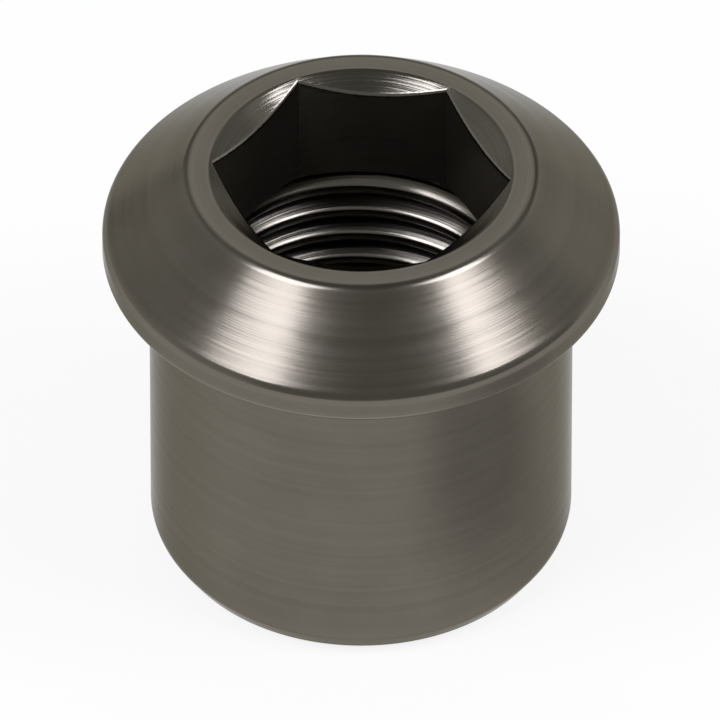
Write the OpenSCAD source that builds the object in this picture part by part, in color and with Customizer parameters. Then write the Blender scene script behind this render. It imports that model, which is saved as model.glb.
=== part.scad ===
// Chainring nut: a headed sleeve nut that clamps bicycle chainrings to the arms of a crank.
// It is one turned piece. A plain sleeve fills the hole through the rings, a cone head with an
// upright rim bears on the outer ring, a hexagon socket in the head takes a key, and a bolt
// screws into the bore from the sleeve's end.
// Millimetres, +Z up along the axis, origin at the centre of the sleeve's end face.

/* [Sleeve] */
// Outside diameter of the sleeve, which fills the ring's hole
sleeve_d = 10; // [9.6:0.05:11]
// Length of the sleeve, from its end face to the underside of the head
sleeve_length = 8.5; // [6:0.1:13]
// Length of the tapered lead-in at the end of the sleeve
lead_in_length = 0.55; // [0.35:0.05:1]
// How far the lead-in draws the end in, on the radius
lead_in_depth = 0.35; // [0.1:0.05:0.4]
// Radius that blends the lead-in into the sleeve
lead_in_blend_r = 0.6; // [0.2:0.1:1]
// Fillet where the sleeve meets the underside of the head
root_fillet_r = 0.2; // [0.1:0.05:0.25]

/* [Head] */
// Diameter over the rim of the head
head_d = 12.2; // [11.8:0.1:14]
// Height of the upright rim
rim_height = 0.65; // [0.4:0.05:1.2]
// Height of the cone above the rim
cone_height = 1.8; // [1.2:0.1:2.8]
// Width of the flat ring that crowns the cone
crown_width = 0.5; // [0.2:0.05:0.7]
// Radius that rounds the cone into the rim and into the crown
cone_edge_r = 0.4; // [0.1:0.05:0.4]
// Radius that breaks the other turned edges
edge_r = 0.1; // [0.05:0.01:0.15]

/* [Hexagon socket] */
// Width across the flats of the socket
hex_flats = 6.05; // [5:0.05:6.2]
// Depth of the socket, from the crown to the full width of the bore
hex_depth = 3.1; // [2:0.1:4.5]
// How far the countersink reaches past the corners of the socket, on the radius
countersink_margin = 0.1; // [0.05:0.05:0.3]
// Full angle of the countersink
countersink_angle = 120; // [90:1:130]

/* [Threaded bore] */
// Major diameter of the thread
thread_d = 8; // [7.8:0.1:8.4]
// Pitch of the thread
thread_pitch = 0.75; // [0.5:0.25:0.75]
// How far the mouth of the bore reaches past the thread, on the radius
mouth_margin = 0.2; // [0.1:0.05:0.3]
// Full angle of the drill point that ends the bore
drill_angle = 118; // [110:1:140]

/* [Hidden] */
$fn = 96;

titanium_grey = [0.41, 0.39, 0.355];

// Depth of a metric internal thread as a share of its pitch, on the diameter
thread_depth_share = 1.0825;
mouth_angle = 90;
// Cutters run past the faces that they open
overrun = 1;
// How far a rounding arc reaches past the sides it joins, as a share of its radius
arc_reach = 0.004;

sleeve_r = sleeve_d / 2;
end_r = sleeve_r - lead_in_depth;
head_r = head_d / 2;
rim_top = sleeve_length + rim_height;
nut_height = rim_top + cone_height;

hex_corner_r = hex_flats / 2 / cos(30);
countersink_r = hex_corner_r + countersink_margin;
crown_r = countersink_r + crown_width;

bore_r = (thread_d - thread_depth_share * thread_pitch) / 2;
bore_length = nut_height - hex_depth;
mouth_r = thread_d / 2 + mouth_margin;

// The corners of the turned outline, from the end face up to the crown
end_edge = [end_r, 0];
lead_in_edge = [sleeve_r, lead_in_length];
root = [sleeve_r, sleeve_length];
rim_lower_edge = [head_r, sleeve_length];
rim_upper_edge = [head_r, rim_top];
crown_edge = [crown_r, nut_height];
end_centre = [0, 0];
crown_centre = [0, nut_height];

// Unit vector from one point to another
function towards(a, b) = (b - a) / norm(b - a);

// The sliver between a corner and the arc of radius r that rounds it, where the outline runs
// through the points before, corner, after. Taken off an outer corner it breaks the edge, and
// added to an inner corner it makes a fillet. The arc reaches a hair past both sides and the
// other edges lie clear of them, so the outline is crossed at two clean points.
module corner_sliver(before, corner, after, r) {
    u = towards(corner, before);
    v = towards(corner, after);
    half_angle = acos(u * v) / 2;
    inward = (u + v) / norm(u + v);
    side_distance = r * (1 - arc_reach);
    arc_centre = corner + inward * side_distance / sin(half_angle);
    foot_length = side_distance / tan(half_angle);
    past_u = arc_centre + (corner + u * foot_length - arc_centre) * 1.5;
    past_v = arc_centre + (corner + v * foot_length - arc_centre) * 1.5;
    difference() {
        polygon([arc_centre, past_v, corner - inward * r, past_u]);
        translate(arc_centre) circle(r);
    }
}

// Half of the nut's outline, without its hole
module turned_outline() {
    difference() {
        union() {
            polygon([
                end_centre, end_edge, lead_in_edge, root,
                rim_lower_edge, rim_upper_edge, crown_edge, crown_centre
            ]);
            corner_sliver(lead_in_edge, root, rim_lower_edge, root_fillet_r);
        }
        corner_sliver(end_centre, end_edge, lead_in_edge, edge_r);
        corner_sliver(end_edge, lead_in_edge, root, lead_in_blend_r);
        corner_sliver(root, rim_lower_edge, rim_upper_edge, edge_r);
        corner_sliver(rim_lower_edge, rim_upper_edge, crown_edge, cone_edge_r);
        corner_sliver(rim_upper_edge, crown_edge, crown_centre, cone_edge_r);
    }
}

// A cone that opens from nothing to the radius r over the given full angle, its wide end at z = 0
module point_cone(r, full_angle) {
    height = r / tan(full_angle / 2);
    translate([0, 0, -height]) cylinder(r1 = 0, r2 = r, h = height);
}

// A countersink whose wide end lies on z = 0, carried past that face by the overrun
module countersink(r, full_angle) {
    spread = overrun * tan(full_angle / 2);
    translate([0, 0, overrun]) point_cone(r + spread, full_angle);
}

// The hexagon socket and the countersink that leads a key into it
module hex_socket() {
    translate([0, 0, bore_length])
        cylinder(r = hex_corner_r, h = hex_depth + overrun, $fn = 6);
    translate([0, 0, nut_height]) countersink(countersink_r, countersink_angle);
}

// The bore at the crests of its thread, its mouth in the end face and its drill point
module threaded_bore() {
    translate([0, 0, -overrun]) cylinder(r = bore_r, h = bore_length + overrun);
    translate([0, 0, bore_length]) mirror([0, 0, 1]) point_cone(bore_r, drill_angle);
    mirror([0, 0, 1]) countersink(mouth_r, mouth_angle);
}

module chainring_nut() {
    color(titanium_grey)
        difference() {
            rotate_extrude() turned_outline();
            hex_socket();
            threaded_bore();
        }
}

chainring_nut();
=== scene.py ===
# %% [markdown]
# # A chainring nut in turned titanium
# A chainring nut is a short threaded sleeve with a head. It passes through the chainrings of a
# bicycle, a key holds it by the hexagon socket in its head, and a bolt screws into it from the
# other end. This lesson dresses the measured model of the nut: it builds the skin again with the
# turns of the thread in it, gives it a turned finish, and sets it under studio light.
#
# The first step loads the measured model. It is the frame that everything here has to agree with.

# %% Load the measured nut
import math

import bpy
import numpy as np
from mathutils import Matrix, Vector


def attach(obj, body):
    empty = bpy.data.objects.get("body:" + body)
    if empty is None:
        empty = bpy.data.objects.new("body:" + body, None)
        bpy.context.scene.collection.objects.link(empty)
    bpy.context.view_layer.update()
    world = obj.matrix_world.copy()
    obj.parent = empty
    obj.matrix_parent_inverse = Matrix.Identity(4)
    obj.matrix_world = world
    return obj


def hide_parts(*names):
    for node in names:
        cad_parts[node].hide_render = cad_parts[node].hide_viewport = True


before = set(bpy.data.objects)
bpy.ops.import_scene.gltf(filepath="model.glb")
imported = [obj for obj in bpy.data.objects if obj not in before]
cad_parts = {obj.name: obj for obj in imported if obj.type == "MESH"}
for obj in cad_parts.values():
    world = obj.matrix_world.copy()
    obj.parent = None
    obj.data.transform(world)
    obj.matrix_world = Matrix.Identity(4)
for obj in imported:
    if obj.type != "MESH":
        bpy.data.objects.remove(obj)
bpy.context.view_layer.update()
MM = 0.001


# %% [markdown]
# ## The sizes
# These are the sizes a machinist would find on the drawing, in metres, with the axis along Z and
# the end of the sleeve on the table at z = 0. They repeat the values of the measured model, because
# the skin has to lie exactly where the solid is. Two things are finer than the solid: the broken
# edge at the mouth of the socket, and the thread.

# %% Sizes of the turned outside
SLEEVE_R = 5.0 * MM
SLEEVE_LENGTH = 8.5 * MM
LEAD_IN_LENGTH = 0.55 * MM
LEAD_IN_DEPTH = 0.35 * MM
LEAD_IN_BLEND_R = 0.6 * MM
ROOT_FILLET_R = 0.2 * MM

HEAD_R = 6.1 * MM
RIM_HEIGHT = 0.65 * MM
CONE_HEIGHT = 1.8 * MM
CROWN_WIDTH = 0.5 * MM
CONE_EDGE_R = 0.4 * MM
EDGE_R = 0.1 * MM

RIM_TOP = SLEEVE_LENGTH + RIM_HEIGHT
NUT_HEIGHT = RIM_TOP + CONE_HEIGHT
print(f"nut {NUT_HEIGHT / MM:.2f} mm high, {2 * HEAD_R / MM:.1f} mm over the rim")

# %% Sizes of the socket and the thread
HEX_FLATS = 6.05 * MM
HEX_DEPTH = 3.1 * MM
COUNTERSINK_MARGIN = 0.1 * MM
COUNTERSINK_ANGLE = math.radians(120)
SOCKET_BREAK = 0.035 * MM

HEX_APOTHEM = HEX_FLATS / 2
HEX_CORNER_R = HEX_APOTHEM / math.cos(math.radians(30))
COUNTERSINK_R = HEX_CORNER_R + COUNTERSINK_MARGIN
COUNTERSINK_SLOPE = 1 / math.tan(COUNTERSINK_ANGLE / 2)
CROWN_R = COUNTERSINK_R + CROWN_WIDTH

THREAD_ROOT_R = 4.0 * MM
THREAD_PITCH = 0.75 * MM
THREAD_DEPTH = 1.0825 / 2 * THREAD_PITCH
MOUTH_MARGIN = 0.2 * MM
DRILL_ANGLE = math.radians(118)

THREAD_CREST_R = THREAD_ROOT_R - THREAD_DEPTH
BORE_TOP = NUT_HEIGHT - HEX_DEPTH
MOUTH_R = THREAD_ROOT_R + MOUTH_MARGIN
DRILL_SLOPE = 1 / math.tan(DRILL_ANGLE / 2)
print(f"socket {HEX_FLATS / MM:.2f} mm across the flats, {HEX_DEPTH / MM:.1f} mm deep")
print(f"thread crests at {2 * THREAD_CREST_R / MM:.3f} mm, roots at {2 * THREAD_ROOT_R / MM:.2f} mm")

# %% [markdown]
# ## Round and round: the grid of angles
# A lathe makes everything out of circles, so every patch of the skin is a grid: one direction runs
# round the axis, the other along the cut. A lathe part could be made with the Screw or Spin tools,
# but the socket and the thread are not round, and a grid of numbers lets the radius change with the
# angle as it likes. The angles include both 0 and a full turn, so the patches overlap by one column
# and are welded shut later. There are sixty columns to each side of the hexagon, so its corners fall
# exactly on a column and stay sharp.

# %% The angles round the axis
COLUMNS_PER_SIDE = 60
turn = np.linspace(0, 2 * np.pi, 6 * COLUMNS_PER_SIDE + 1)


def around(radius, height):
    """Points of a patch: the radius and height of each row, carried round the axis.

    A point is (radius * cos(angle), radius * sin(angle), height). Radius and height are arrays of
    rows by columns, or of rows by one where they are the same all the way round.
    """
    radius = np.broadcast_to(radius, (radius.shape[0], turn.size))
    height = np.broadcast_to(height, radius.shape)
    return np.stack([radius * np.cos(turn), radius * np.sin(turn), height], axis=-1)


print(f"{turn.size - 1} columns, one every {360 / (turn.size - 1):.1f} degrees")

# %% [markdown]
# ## The turned outside
# The outside is one cut with a lathe tool: out along the end face, up the lead-in and the sleeve,
# out under the head, up the rim, in along the cone and across the crown. No real edge is perfectly
# sharp, and it is the tiny rounding of an edge that catches the light, so each corner of the cut is
# an arc. A Bevel modifier could do that, but here the radius of each corner is known from the
# drawing, and working it out keeps every edge at its true size.
#
# Between two arcs lie two rows, each close to the end of an arc. They keep the smooth shading of the
# rounding from leaking over the flat. Handling rubs a narrow edge brighter than a wide rounding, so
# each row also notes how far it is rubbed.

# %% Arcs and straights of the cut


def corner_arc(before, corner, after, radius, steps):
    """Points on the arc that rounds a corner of the cut.

    The arc's centre lies on the line that halves the corner, at radius / sin(half the angle). The
    arc starts radius / tan(half the angle) before the corner and ends as far after it. The points
    are the centre plus the radius times a direction that turns evenly from the one to the other.
    """
    before, corner, after = np.array(before), np.array(corner), np.array(after)
    back = (before - corner) / np.linalg.norm(before - corner)
    on = (after - corner) / np.linalg.norm(after - corner)
    half = math.acos(np.clip(back @ on, -1, 1)) / 2
    inward = (back + on) / np.linalg.norm(back + on)
    centre = corner + inward * radius / math.sin(half)
    start = (corner + back * radius / math.tan(half) - centre) / radius
    end = (corner + on * radius / math.tan(half) - centre) / radius
    sweep = math.acos(np.clip(start @ end, -1, 1))
    share = np.linspace(0, 1, steps + 1)[:, None]
    spread = np.sin((1 - share) * sweep) * start + np.sin(share * sweep) * end
    return centre + radius * spread / math.sin(sweep)


def straight(start, end, margin=0.03 * MM):
    """Two rows just inside the ends of a straight cut, a small margin away from each end."""
    start, end = np.array(start), np.array(end)
    step = (end - start) / np.linalg.norm(end - start)
    return np.array([start + step * margin, end - step * margin])


# %% The corners of the outside cut
cut_corners = [
    (MOUTH_R, 0.0),
    (SLEEVE_R - LEAD_IN_DEPTH, 0.0),
    (SLEEVE_R, LEAD_IN_LENGTH),
    (SLEEVE_R, SLEEVE_LENGTH),
    (HEAD_R, SLEEVE_LENGTH),
    (HEAD_R, RIM_TOP),
    (CROWN_R, NUT_HEIGHT),
    (COUNTERSINK_R, NUT_HEIGHT),
]
corner_radii = [EDGE_R, LEAD_IN_BLEND_R, ROOT_FILLET_R, EDGE_R, CONE_EDGE_R, CONE_EDGE_R]
corner_steps = [6, 6, 8, 8, 12, 12]
arcs = [
    corner_arc(*cut_corners[i : i + 3], radius, steps)
    for i, (radius, steps) in enumerate(zip(corner_radii, corner_steps))
]
print(f"{len(arcs)} rounded corners, {sum(corner_steps)} steps")

# %% The rows of the outside cut
stops = [np.array([cut_corners[0]])] + arcs + [np.array([cut_corners[-1]])]
rubbing = [EDGE_R / radius for radius in corner_radii] + [0.0]
outside_cut = [stops[0]]
outside_polish = [np.zeros(1)]
for last, following, rub in zip(stops[:-1], stops[1:], rubbing):
    outside_cut += [straight(last[-1], following[0]), following]
    outside_polish += [np.zeros(2), np.full(len(following), rub)]
outside_cut = np.concatenate(outside_cut)
outside_polish = np.concatenate(outside_polish)
outside_drag = np.zeros_like(outside_polish)
outside = around(outside_cut[:, :1], outside_cut[:, 1:])
print(f"outside: {len(outside_cut)} rows, widest radius {outside_cut[:, 0].max() / MM:.2f} mm")

# %% [markdown]
# ## The hexagon socket
# The socket is pushed into the drilled blank with a six-sided broach, and a countersink at the mouth
# guides the key in. Where the cone of the countersink runs into a flat it leaves a curve, a low
# scallop between two corners. A boolean cut would find these curves too, but leaves long thin
# triangles that spoil the shading. Here each column of the grid asks for the hexagon's radius at its
# own angle, and the depth at which the countersink has that radius follows from it.
#
# Keys rub the countersink and its edge bright, and the broach drags on the flats and leaves them
# dull. Each row of the socket notes both.

# %% The radius of the hexagon at each angle
from_flat_middle = np.mod(turn, np.pi / 3) - np.pi / 6
hexagon = HEX_APOTHEM / np.cos(from_flat_middle)
print(f"hexagon radius {hexagon.min() / MM:.3f} to {hexagon.max() / MM:.3f} mm")

# %% Countersink, flats and drill point
NEAR_MOUTH = 0.15
HALFWAY = 0.5
BREAK_DROP = 1.2 * SOCKET_BREAK
BREAK_RISE = SOCKET_BREAK * COUNTERSINK_SLOPE

meets_countersink = NUT_HEIGHT - (COUNTERSINK_R - hexagon) * COUNTERSINK_SLOPE
meets_drill_point = BORE_TOP + (THREAD_CREST_R - hexagon) * DRILL_SLOPE


def between(start, end, share):
    """The place that lies a share of the way from the start to the end."""
    return (1 - share) * start + share * end


def socket_patch():
    """The inside from the crown down to the thread, one column per angle.

    On the countersink, height falls with the radius at a fixed slope, down to the hexagon. On the
    flats the radius is the hexagon's. On the drill point the radius grows to that of the thread's
    crests. The edge between countersink and flat is broken by a narrow bevel, with a row beside it
    on each side.
    """
    one = np.ones_like(turn)
    rows = [
        (COUNTERSINK_R * one, NUT_HEIGHT * one),
        (between(COUNTERSINK_R, hexagon, NEAR_MOUTH), between(NUT_HEIGHT, meets_countersink, NEAR_MOUTH)),
        (hexagon + 2 * SOCKET_BREAK, meets_countersink + 2 * BREAK_RISE),
        (hexagon + SOCKET_BREAK, meets_countersink + BREAK_RISE),
        (hexagon, meets_countersink - BREAK_DROP),
        (hexagon, meets_countersink - 2.5 * BREAK_DROP),
        (hexagon, between(meets_countersink, meets_drill_point, HALFWAY)),
        (hexagon, meets_drill_point + SOCKET_BREAK),
        (hexagon, meets_drill_point),
        (between(hexagon, THREAD_CREST_R, HALFWAY), between(meets_drill_point, BORE_TOP, HALFWAY)),
        (THREAD_CREST_R * one, BORE_TOP * one),
    ]
    radius, height = (np.array(values) for values in zip(*rows))
    return around(radius, height)


socket = socket_patch()
socket_polish = np.array([0, 0.8, 0.8, 1, 1, 0.3, 0, 0, 0, 0, 0], float)
socket_drag = np.array([0, 0, 0, 0, 0.5, 1, 1, 1, 1, 0.5, 0], float)
scallop_dip = (meets_countersink.max() - meets_countersink.min()) / MM
print(f"socket: {socket.shape[0]} rows, scallops dip {scallop_dip:.2f} mm at the middle of each flat")

# %% [markdown]
# ## The thread
# The bolt's thread is a groove cut along a helix, with flanks at sixty degrees, a flat crest and a
# narrow flat root. A Screw modifier makes a helix easily, but leaves it open at both ends. Here the
# rows of the grid climb with the helix, one pitch in each turn, and are held back at the top of the
# bore and at its mouth. Rows that are held back lie on each other and melt together in the weld, so
# the thread ends in a closed skin. Near the top the groove runs out, as the first teeth of a tap
# leave it, and at the mouth a chamfer cuts it off.
#
# Smooth shading bends the light across the narrow edges of the crest and the root. A row a little
# way inside each end of a flank keeps that bend short, so the flank shines as the flat that it is.

# %% One pitch of the thread, as shares of the pitch
CREST_HALF = 1 / 8
FLANK = 5 / 16

crest_rows = CREST_HALF + np.array([-0.0333, 0.0167, 0.0667])
root_rows = CREST_HALF + FLANK + np.array([-0.06, -0.01, 0.02])
lower_half = np.concatenate([crest_rows, root_rows])
pitch_place = np.concatenate([lower_half, 1 - lower_half[::-1]])
from_crest = np.minimum(pitch_place, 1 - pitch_place)
groove_depth = np.clip((from_crest - CREST_HALF) / FLANK, 0, 1)
print(f"one pitch: {pitch_place.size} rows, groove {THREAD_DEPTH / MM:.3f} mm deep")

# %% Copies of the pitch up the helix
CREST_PHASE = 0.187 * MM
RUN_OUT = 0.85 * MM

pitches = np.arange(-2, math.ceil(BORE_TOP / THREAD_PITCH) + 2)
row_place = (pitches[:, None] + pitch_place).ravel()[::-1, None]
row_depth = np.tile(groove_depth, pitches.size)[::-1, None]


def thread_patch():
    """The threaded bore from its top down to the mouth.

    Height is the crest's phase plus the pitch times (the row's place plus the share of a turn), held
    between 0 and the top of the bore. Radius is the crest's plus the groove's depth, which fades
    over the run-out at the top, or that of the chamfer, mouth radius minus height, where it is more.
    """
    height = CREST_PHASE + THREAD_PITCH * (row_place + turn / (2 * np.pi))
    height = np.clip(height, 0, BORE_TOP)
    fade = np.clip((BORE_TOP - height) / RUN_OUT, 0, 1)
    groove = THREAD_CREST_R + THREAD_DEPTH * row_depth * fade
    return around(np.maximum(groove, MOUTH_R - height), height)


thread = thread_patch()
thread_polish = np.full(thread.shape[0], 0.8)
thread_drag = np.full(thread.shape[0], 0.3)
print(f"thread: {thread.shape[0]} rows, {BORE_TOP / THREAD_PITCH:.1f} turns")

# %% [markdown]
# ## Welding the patches into one skin
# The three patches share their border circles, and each patch meets itself after a full turn. Points
# that lie in the same place become one point, faces that have melted to a line are dropped, and what
# is left is a closed skin without a seam. The number of faces at each edge proves it: on a closed
# skin every edge has two.

# %% Weld
WELD_STEP = 1e-6 * MM


def grid_faces(rows, columns, first):
    """Four corner numbers of each face of a grid, ordered so that the face looks outwards."""
    corner = first + np.arange(rows * columns).reshape(rows, columns)
    faces = [corner[:-1, :-1], corner[:-1, 1:], corner[1:, 1:], corner[1:, :-1]]
    return np.stack(faces, axis=-1).reshape(-1, 4)


def weld(patches, *row_marks):
    """One skin from several patches: its points, its faces, and the marks at each point.

    Points are the same where their places agree to the weld's step. A face with two corners at one
    point becomes three-sided, and a face with more of them is dropped. Where rows with different
    marks meet in a point, the greater mark holds.
    """
    sizes = [patch.shape[0] * patch.shape[1] for patch in patches]
    firsts = np.concatenate([[0], np.cumsum(sizes)[:-1]])
    points = np.concatenate([patch.reshape(-1, 3) for patch in patches])
    marks = np.stack([np.repeat(np.concatenate(rows), turn.size) for rows in row_marks], axis=1)
    faces = np.concatenate([
        grid_faces(patch.shape[0], patch.shape[1], first) for patch, first in zip(patches, firsts)
    ])
    places, first_copy, number = np.unique(
        np.round(points / WELD_STEP).astype(np.int64), axis=0, return_index=True, return_inverse=True
    )
    number = number.reshape(-1)
    kept_marks = np.zeros((len(places), len(row_marks)))
    np.maximum.at(kept_marks, number, marks)
    faces = number[faces]
    melted = faces == np.roll(faces, -1, axis=1)
    four_sided = faces[melted.sum(axis=1) == 0]
    melting = melted.sum(axis=1) == 1
    keep = ~melted[melting]
    three_sided = faces[melting][keep].reshape(-1, 3)
    return points[first_copy], four_sided, three_sided, kept_marks


points, four_sided, three_sided, marks = weld(
    [outside, socket, thread],
    [outside_polish, socket_polish, thread_polish],
    [outside_drag, socket_drag, thread_drag],
)
print(f"skin: {len(points)} points, {len(four_sided)} four-sided, {len(three_sided)} three-sided faces")

# %% Proof that the skin is closed


def edge_counts(*face_lists):
    """How many faces meet at each edge, counted over all the edges of all the faces."""
    edges = np.concatenate([
        np.stack([faces, np.roll(faces, -1, axis=1)], axis=-1).reshape(-1, 2) for faces in face_lists
    ])
    return np.unique(np.sort(edges, axis=1), axis=0, return_counts=True)[1]


def enclosed_volume(points, triangles):
    """A sixth of the sum of a . (b x c) over the triangles, positive where faces look outwards."""
    a, b, c = (points[triangles[:, k]] for k in range(3))
    return np.einsum("ij,ij->i", a, np.cross(b, c)).sum() / 6


counts = edge_counts(four_sided, three_sided)
triangles = np.concatenate([four_sided[:, [0, 1, 2]], four_sided[:, [0, 2, 3]], three_sided])
print(f"edges with two faces: {np.mean(counts == 2):.4%}, {len(triangles)} triangles")
print(f"enclosed volume {enclosed_volume(points, triangles) / MM**3:.1f} mm3")

# %% The nut as a Blender object
SHARP_FROM = math.radians(35)

nut_mesh = bpy.data.meshes.new("chainring_nut_skin")
nut_mesh.from_pydata(points, [], four_sided.tolist() + three_sided.tolist())
nut_mesh.shade_smooth()
nut_mesh.set_sharp_from_angle(angle=SHARP_FROM)
for name, values in zip(["edge_polish", "tool_drag"], marks.T.astype(np.float32)):
    nut_mesh.attributes.new(name, "FLOAT", "POINT").data.foreach_set("value", values.copy())
nut_mesh.update()

nut = bpy.data.objects.new("chainring_nut_skin", nut_mesh)
bpy.context.scene.collection.objects.link(nut)
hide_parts("chainring_nut")
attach(nut, "root")
print("mesh is valid:", not nut_mesh.validate())

# %% [markdown]
# ## Sums in a shader
# A material is a small network of nodes. Each sum takes a node, and a formula soon becomes a tangle
# of boxes. This class wraps the output of a node, so that a formula can be written as a formula and
# the boxes come by themselves. It also has a fade, which rises smoothly from nothing between two
# limits, and the sums that make one number of two vectors.

# %% A wire that can be added and multiplied


class Wire:
    """The output of a node. Sums of wires and numbers add the Math nodes that work them out."""

    def __init__(self, tree, socket=None):
        self.tree = tree
        self.socket = socket

    def node(self, kind, settings=None, values=None, output=0):
        """A new node of any kind: its settings first, then a value or a wire for each socket."""
        made = self.tree.nodes.new(kind)
        for name, value in (settings or {}).items():
            setattr(made, name, value)
        for name, value in (values or {}).items():
            if isinstance(value, Wire):
                self.tree.links.new(value.socket, made.inputs[name])
            else:
                made.inputs[name].default_value = value
        return Wire(self.tree, made.outputs[output] if made.outputs else None)

    def math(self, operation, *values):
        """A Math node that does this operation on the values."""
        return self.node("ShaderNodeMath", {"operation": operation}, dict(enumerate(values)))

    def fade(self, start, end, full=1.0):
        """Nothing up to the start, full from the end on, and a smooth step between the two."""
        limits = {"Value": self, "From Min": start, "From Max": end, "To Min": 0.0, "To Max": full}
        return self.node("ShaderNodeMapRange", {"interpolation_type": "SMOOTHSTEP"}, limits)

    def vector_math(self, operation, other):
        """A number from two vectors, such as their distance or how far one reaches along the other."""
        both = {0: self, 1: other}
        return self.node("ShaderNodeVectorMath", {"operation": operation}, both, output="Value")

    def __add__(self, other):
        return self.math("ADD", self, other)

    __radd__ = __add__

    def __sub__(self, other):
        return self.math("SUBTRACT", self, other)

    def __rsub__(self, other):
        return self.math("SUBTRACT", other, self)

    def __mul__(self, other):
        return self.math("MULTIPLY", self, other)

    __rmul__ = __mul__

    def __pow__(self, other):
        return self.math("POWER", self, other)


def fresh_tree(owner):
    """An empty node tree on a material or a world, wrapped as a wire without a socket."""
    owner.use_nodes = True
    owner.node_tree.nodes.clear()
    return Wire(owner.node_tree)


# %% [markdown]
# ## Turned titanium
# Bare titanium is a warm, rather dark grey. The tool of the lathe leaves fine rings on it, a few
# hundredths of a millimetre apart, and fainter broad ones, and all of them follow the cut round the
# axis. Rings need only one number: the place along the cut. Height plus a share of the radius
# changes along every surface of this nut, so noise along that single number gives rings on the
# sleeve, the cone and the faces alike. A slow cloud of noise in space makes the rings wander a
# little and lets the grey vary, as handling does.
#
# What is rubbed is brighter and smoother than the rest: the edges, the countersink and, by the bolt,
# the thread. What a tool dragged on is duller: the flats behind the broach and, a little, the thread
# behind the tap. The skin's two attributes say where that is.

# %% Where a point of the finish lies
RADIUS_SHARE = 1.3
RING_WANDER = 0.005 * MM

titanium = bpy.data.materials.new("turned_titanium")
bench = fresh_tree(titanium)
place = bench.node("ShaderNodeTexCoord", output="Object")
x, y, z = (bench.node("ShaderNodeSeparateXYZ", values={0: place}, output=k) for k in range(3))
radius = (x * x + y * y) ** 0.5
cloud = bench.node(
    "ShaderNodeTexNoise", values={"Vector": place, "Scale": 420.0, "Detail": 4.0, "Roughness": 0.6}
)
along_cut = z + RADIUS_SHARE * radius + RING_WANDER * cloud
edge = bench.node("ShaderNodeAttribute", {"attribute_name": "edge_polish"}, output="Fac")
drag = bench.node("ShaderNodeAttribute", {"attribute_name": "tool_drag"}, output="Fac")

# %% Rings and colour
DARK_GREY = (0.118, 0.107, 0.086, 1)
LIGHT_GREY = (0.172, 0.158, 0.129, 1)
RUBBED_GREY = (0.30, 0.283, 0.245, 1)


def ring_noise(scale, detail, roughness):
    """Noise that changes only with the place along the cut, so it draws rings round the axis."""
    values = {"W": along_cut, "Scale": scale, "Detail": detail, "Roughness": roughness}
    return bench.node("ShaderNodeTexNoise", {"noise_dimensions": "1D"}, values)


def mixed(share, first, second):
    """A colour on the way from the first to the second."""
    settings = {"data_type": "RGBA", "clamp_factor": True}
    values = {"Factor": share, "A": first, "B": second}
    return bench.node("ShaderNodeMix", settings, values, output="Result")


rings = ring_noise(14000.0, 4.0, 0.62)
broad_rings = ring_noise(4200.0, 2.0, 0.5)
tone = 0.5 + 0.8 * (cloud - 0.5) + 0.35 * (rings - 0.5) + 0.5 * (broad_rings - 0.5)
grey = mixed(tone, DARK_GREY, LIGHT_GREY)
rubbed = mixed(0.35 * edge, grey, RUBBED_GREY)

# %% Gloss and relief
SATIN = 0.21
EDGE_SHINE = 0.10
DRAG_DULLNESS = 0.22
RELIEF = 0.004 * MM
GRAZING_TINT = (0.58, 0.57, 0.54, 1)

uneven = 0.10 * (rings - 0.5) + 0.08 * (cloud - 0.5)
roughness = SATIN + uneven - EDGE_SHINE * edge + DRAG_DULLNESS * drag
relief = bench.node(
    "ShaderNodeBump",
    values={"Strength": 0.55, "Distance": RELIEF, "Height": rings + 2.0 * broad_rings},
)
metal = bench.node(
    "ShaderNodeBsdfPrincipled",
    values={
        "Base Color": rubbed,
        "Metallic": 1.0,
        "Roughness": roughness,
        "Specular Tint": GRAZING_TINT,
        "Normal": relief,
    },
)
bench.node("ShaderNodeOutputMaterial", values={"Surface": metal})
nut_mesh.materials.append(titanium)
print(f"titanium: {len(titanium.node_tree.nodes)} nodes")

# %% [markdown]
# ## The camera
# Small hardware is photographed with a long lens from above the edge of the table. The sides of the
# sleeve stay parallel in such a picture, so the camera stands far off. Its height follows from how
# round the rim looks, and its bearing from how far the hexagon is turned.

# %% Camera
BEARING = math.radians(5.0)
RISE = math.radians(42.1)
DISTANCE = 0.6
PIXELS_PER_METRE = 42260.0
IMAGE_SIDE = 720
SENSOR_WIDTH = 36.0
AIM = Vector((-0.026 * MM, 0, 4.92 * MM))


def towards_sky(bearing, rise):
    """The direction with this compass bearing from the nut's front and this rise above the table."""
    flat = math.cos(rise)
    return Vector((math.sin(bearing) * flat, -math.cos(bearing) * flat, math.sin(rise)))


def face_the_nut(thing, direction, distance):
    """Sets a camera or lamp at a distance from the nut, in a direction, and turns it to the nut."""
    thing.location = AIM + distance * direction
    thing.rotation_euler = (AIM - thing.location).to_track_quat("-Z", "Y").to_euler()
    bpy.context.scene.collection.objects.link(thing)


lens = bpy.data.cameras.new("long_lens")
lens.sensor_width = SENSOR_WIDTH
lens.lens = SENSOR_WIDTH * DISTANCE / (IMAGE_SIDE / PIXELS_PER_METRE)
lens.clip_start = 0.01
lens.clip_end = 10.0
camera = bpy.data.objects.new("long_lens", lens)
face_the_nut(camera, towards_sky(BEARING, RISE), DISTANCE)
bpy.context.scene.camera = camera
print(f"lens {lens.lens:.0f} mm at {DISTANCE} m")

# %% [markdown]
# ## The table
# The nut stands on a plain pale table. To a camera, and to the metal that mirrors it, most of the
# table's white comes from a constant glow, and the rest from the lamps, so the nut keeps a soft
# shadow without the table turning grey. Under the nut the glow is left out, because no light gets
# there, and so the bore stays dark.

# %% Table
TABLE_HALF = 1.5
TABLE_GAP = 0.01 * MM
GLOW_SHARE = 0.85
GLOW_STARTS = 4.3 * MM
GLOW_FULL = 4.7 * MM


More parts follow.
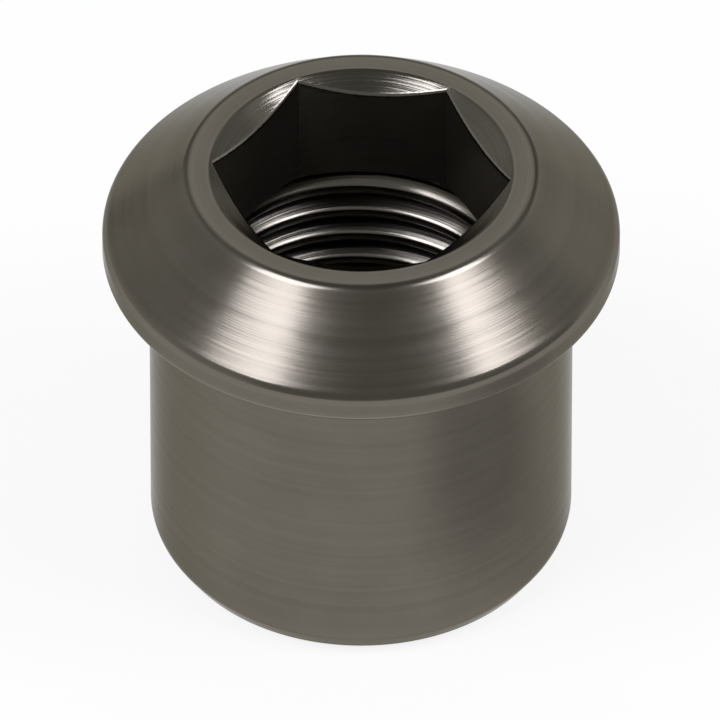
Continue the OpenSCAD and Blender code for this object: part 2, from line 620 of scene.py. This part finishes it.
def flat_square(name, middle, half):
    """A square that lies flat. A corner is the middle plus half the side times (+-1, +-1, 0)."""
    mesh = bpy.data.meshes.new(name)
    corners = np.array(middle) + half * np.array([(-1, -1, 0), (1, -1, 0), (1, 1, 0), (-1, 1, 0)])
    mesh.from_pydata(corners, [], [(0, 1, 2, 3)])
    square = bpy.data.objects.new(name, mesh)
    bpy.context.scene.collection.objects.link(square)
    return square


table = flat_square("table", (0, 0, -TABLE_GAP), TABLE_HALF)
print(f"table: {2 * TABLE_HALF:.0f} m wide")

# %% The table's white
pale = bpy.data.materials.new("pale_table")
bench = fresh_tree(pale)
ray_to_camera = bench.node("ShaderNodeLightPath", output="Is Camera Ray")
ray_to_gloss = bench.node("ShaderNodeLightPath", output="Is Glossy Ray")
ray_through = bench.node("ShaderNodeLightPath", output="Is Transmission Ray")
seen = bench.math("MINIMUM", ray_to_camera + ray_to_gloss + ray_through, 1.0)
matt = bench.node("ShaderNodeBsdfDiffuse", values={"Color": (0.90, 0.90, 0.90, 1)})
glow = bench.node("ShaderNodeEmission", values={"Color": (1, 1, 1, 1), "Strength": 1.0})
place = bench.node("ShaderNodeTexCoord", output="Object")
away = place.vector_math("DISTANCE", (0, 0, 0)).fade(GLOW_STARTS, GLOW_FULL, GLOW_SHARE)
surface = bench.node("ShaderNodeMixShader", values={0: away * seen, 1: matt, 2: glow})
bench.node("ShaderNodeOutputMaterial", values={"Surface": surface})
table.data.materials.append(pale)
print(f"glow: {GLOW_SHARE:.0%} of the white, from {GLOW_FULL / MM:.1f} mm of the axis outwards")

# %% [markdown]
# ## A grey card
# Polished metal needs something to mirror besides white. A small card of grey gauze lies on the table
# to the right of the nut, and the right side of the sleeve and of the rim is darker for it. The gauze
# thins towards its rim, so that no edge of it shows in the metal. The card is only there for the
# metal: the camera and the other surfaces don't see it.

# %% Card
CARD_MIDDLE = np.array([11.0, -6.2, 0.05]) * MM
CARD_HALF = 8.5 * MM
GAUZE_THINS = 2.5 * MM

card = flat_square("grey_card", CARD_MIDDLE, CARD_HALF)
card.visible_camera = False
card.visible_diffuse = False
card.visible_transmission = False
card.visible_shadow = False

matt_grey = bpy.data.materials.new("matt_grey_card")
bench = fresh_tree(matt_grey)
gauze = bench.node("ShaderNodeBsdfDiffuse", values={"Color": (0.55, 0.54, 0.52, 1)})
gaps = bench.node("ShaderNodeBsdfTransparent")
place = bench.node("ShaderNodeTexCoord", output="Object")
thinning = place.vector_math("DISTANCE", tuple(CARD_MIDDLE)).fade(GAUZE_THINS, CARD_HALF)
surface = bench.node("ShaderNodeMixShader", values={0: thinning, 1: gauze, 2: gaps})
bench.node("ShaderNodeOutputMaterial", values={"Surface": surface})
card.data.materials.append(matt_grey)
print(f"card: {2 * CARD_HALF / MM:.0f} mm wide")

# %% [markdown]
# ## Studio light
# A polished cone is a mirror of the room. Two softboxes of daylight stand to the left and right of
# the camera, and each leaves a bright band on the cone. Between the bands the cone mirrors the dim
# room behind the camera.
#
# The rest of the room is a formula: how bright it is follows from the direction alone. A pale board
# behind the nut is what the flat crown mirrors. Pale walls to the left and right, brightest near the
# floor, light the sides of the cone, and a pale ceiling to the right goes with them. Two places are
# darker, for the socket's sake. The patch right overhead is mirrored by the back of the countersink
# and by the thread, and a gap between the board and the right wall by the left of the countersink.
# The gap is a slanting strip: it fades out along its length, and sooner across it.

# %% Softboxes
DAYLIGHT = (0.88, 0.88, 1.0)
LAMP_DISTANCE = 0.3


def softbox(name, bearing, rise, side, radiance):
    """A square lamp that looks at the nut. Its power is pi times its area times its radiance."""
    lamp = bpy.data.lights.new(name, "AREA")
    lamp.shape = "SQUARE"
    lamp.size = side
    lamp.energy = math.pi * side * side * radiance
    lamp.color = DAYLIGHT
    stand = bpy.data.objects.new(name, lamp)
    face_the_nut(stand, towards_sky(BEARING + math.radians(bearing), math.radians(rise)), LAMP_DISTANCE)
    print(f"{name}: {lamp.energy:.2f} W")


softbox("left_softbox", bearing=-59, rise=56, side=0.138, radiance=8.0)
softbox("right_softbox", bearing=72.5, rise=52, side=0.124, radiance=8.6)

# %% The room
DIM_ROOM = 0.33

room = bpy.data.worlds.new("studio_room")
bpy.context.scene.world = room
bench = fresh_tree(room)
direction = bench.node("ShaderNodeTexCoord", output="Generated")


def reach(bearing, rise):
    """How far the direction points the same way as this bearing, from the camera's, and this rise."""
    there = towards_sky(BEARING + math.radians(bearing), math.radians(rise))
    return direction.vector_math("DOT_PRODUCT", there)


upwards = reach(0, 90)
sideways = reach(90, 0)
back_board = reach(180, math.degrees(RISE)).fade(0.85, 0.97, 0.59)
right_wall = reach(120, 0).fade(0.86, 0.95, 0.45)
left_wall = (0.0 - sideways).fade(0.5, 0.8, 0.38)
right_ceiling = sideways.fade(0.4, 0.8, 0.3)
overhead = upwards.fade(0.90, 0.98, 0.16)
across_gap = bench.math("ABSOLUTE", reach(66.6, -35.4)).fade(0.06, 0.17)
gap = reach(131, 30).fade(0.90, 0.95, 0.15) * (1 - across_gap)
walls = (right_wall + left_wall) * (1 - upwards)
brightness = DIM_ROOM + back_board + walls + right_ceiling * upwards - overhead - gap
air = bench.node("ShaderNodeBackground", values={"Color": (1, 1, 1, 1), "Strength": brightness})
bench.node("ShaderNodeOutputWorld", values={"Surface": air})
bpy.context.scene.view_settings.view_transform = "Standard"
print(f"room: {len(room.node_tree.nodes)} nodes")
